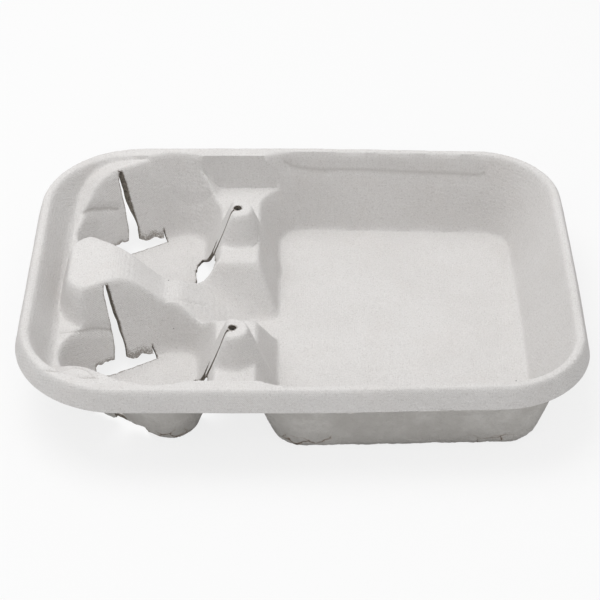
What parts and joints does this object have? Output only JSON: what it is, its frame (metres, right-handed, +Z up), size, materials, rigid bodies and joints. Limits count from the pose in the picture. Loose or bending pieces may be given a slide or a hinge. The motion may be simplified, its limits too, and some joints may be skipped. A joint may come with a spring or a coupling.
{
  "type": "moulded pulp cup and food carrier",
  "caption": "Shallow moulded pulp carrier with a large food compartment beside slit cup wells, inside one continuous turned-down rim.",
  "frame": {"origin": "centre of the footprint, on the surface the carrier stands on", "axes": "+X from the cup end to the food end, +Y from front to back, +Z up"},
  "size_m": [0.311, 0.234, 0.052],
  "materials": {
    "moulded_pulp": "matt, screen-marked pulp"
  },
  "bodies": {
    "root": {"pulp_carrier": "moulded_pulp"}
  },
  "joints": []
}
